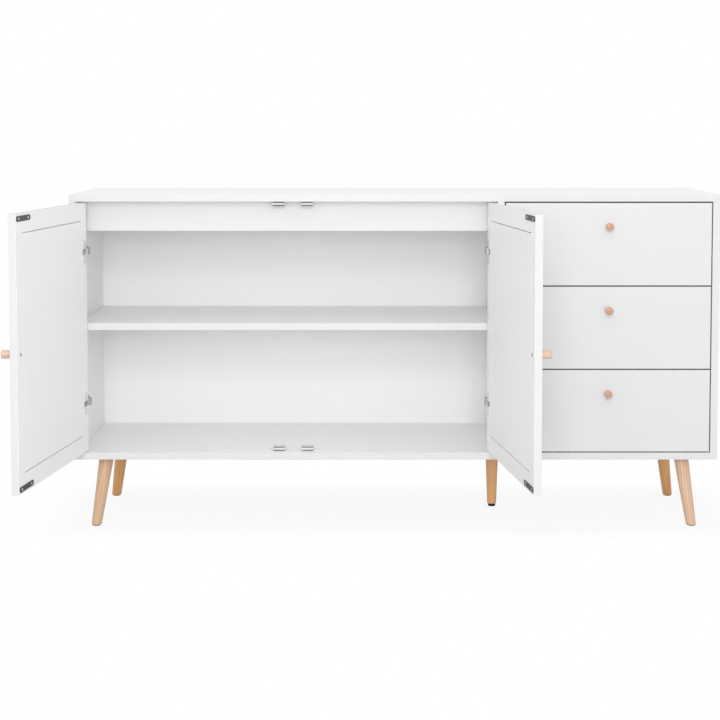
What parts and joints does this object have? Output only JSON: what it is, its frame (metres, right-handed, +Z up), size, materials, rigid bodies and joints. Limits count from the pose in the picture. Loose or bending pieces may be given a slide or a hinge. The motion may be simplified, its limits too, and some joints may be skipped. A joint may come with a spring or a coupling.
{
  "type": "sideboard buffet",
  "caption": "Low white sideboard on five round tapered wooden legs, with an inset pair of hinged doors over a shelf beside a column of inset drawers, round wooden knobs.",
  "frame": {"origin": "on the floor, under the middle of the outline that the sideboard has in plan with both doors standing open", "axes": "+X along the width, to the right when facing the front; +Y from the front to the back; +Z up"},
  "size_m": [1.5634, 0.862, 0.78],
  "materials": {
    "white_board": "white laminate board, satin, with a very fine grain",
    "thin_board": "thin white-faced hardboard, satin",
    "oak": "clear-lacquered light oak",
    "knob_wood": "clear-lacquered beech, warm tone",
    "beech": "raw beech dowel",
    "bright_steel": "nickel-plated steel",
    "runner_steel": "zinc-plated steel",
    "dark_steel": "dull bare steel",
    "white_plastic": "moulded white plastic",
    "black_plastic": "black moulded plastic"
  },
  "bodies": {
    "cabinet": {"top_panel": "white_board", "bottom_panel": "white_board", "left_side_panel": "white_board", "right_side_panel": "white_board", "divider_panel": "white_board", "cupboard_back": "thin_board", "drawer_bay_back": "thin_board", "front_rail": "white_board", "shelf": "white_board", "shelf_supports": "bright_steel", "front_left_leg": "oak", "front_right_leg": "oak", "back_left_leg": "oak", "back_right_leg": "oak", "centre_leg": "oak", "leg_plates": "dark_steel", "leg_bolts": "bright_steel", "leg_glides": "black_plastic", "hinge_arms": "bright_steel", "hinge_plates": "bright_steel", "catch_housings": "white_plastic", "catch_magnets": "dark_steel", "cabinet_runners": "runner_steel", "carcass_screws": "bright_steel", "cam_locks": "dark_steel", "cam_bolts": "bright_steel", "dowels": "beech"},
    "left_door": {"left_door_frame": "white_board", "left_door_field": "white_board", "left_door_knob": "knob_wood", "left_door_cups": "bright_steel", "left_door_pins": "bright_steel", "left_door_strikes": "dark_steel", "left_door_screws": "bright_steel"},
    "right_door": {"right_door_frame": "white_board", "right_door_field": "white_board", "right_door_knob": "knob_wood", "right_door_cups": "bright_steel", "right_door_pins": "bright_steel", "right_door_strikes": "dark_steel", "right_door_screws": "bright_steel"},
    "lower_drawer": {"lower_drawer_front": "white_board", "lower_drawer_box": "white_board", "lower_drawer_bottom": "thin_board", "lower_drawer_knob": "knob_wood", "lower_drawer_runners": "runner_steel", "lower_drawer_screws": "bright_steel"},
    "middle_drawer": {"middle_drawer_front": "white_board", "middle_drawer_box": "white_board", "middle_drawer_bottom": "thin_board", "middle_drawer_knob": "knob_wood", "middle_drawer_runners": "runner_steel", "middle_drawer_screws": "bright_steel"},
    "top_drawer": {"top_drawer_front": "white_board", "top_drawer_box": "white_board", "top_drawer_bottom": "thin_board", "top_drawer_knob": "knob_wood", "top_drawer_runners": "runner_steel", "top_drawer_screws": "bright_steel"},
    "levelling_foot_body": {"levelling_foot": "black_plastic"}
  },
  "joints": [
    {"name": "left_door_hinge", "type": "hinge", "parent": "cabinet", "child": "left_door", "pos_m": [-0.69033, 0.03853, 0.472], "axis": [0, 0, 1], "range_deg": [0, 97.5]},
    {"name": "right_door_hinge", "type": "hinge", "parent": "cabinet", "child": "right_door", "pos_m": [0.25767, 0.03853, 0.472], "axis": [0, 0, -1], "range_deg": [0, 97.5]},
    {"name": "top_drawer_slide", "type": "slide", "parent": "cabinet", "child": "top_drawer", "axis": [0, -1, 0], "range_m": [0, 0.16]},
    {"name": "middle_drawer_slide", "type": "slide", "parent": "cabinet", "child": "middle_drawer", "axis": [0, -1, 0], "range_m": [0, 0.16]},
    {"name": "lower_drawer_slide", "type": "slide", "parent": "cabinet", "child": "lower_drawer", "axis": [0, -1, 0], "range_m": [0, 0.16]},
    {"name": "levelling_foot_screw", "type": "slide", "parent": "cabinet", "child": "levelling_foot_body", "axis": [0, 0, 1], "range_m": [0, 0.002]}
  ]
}
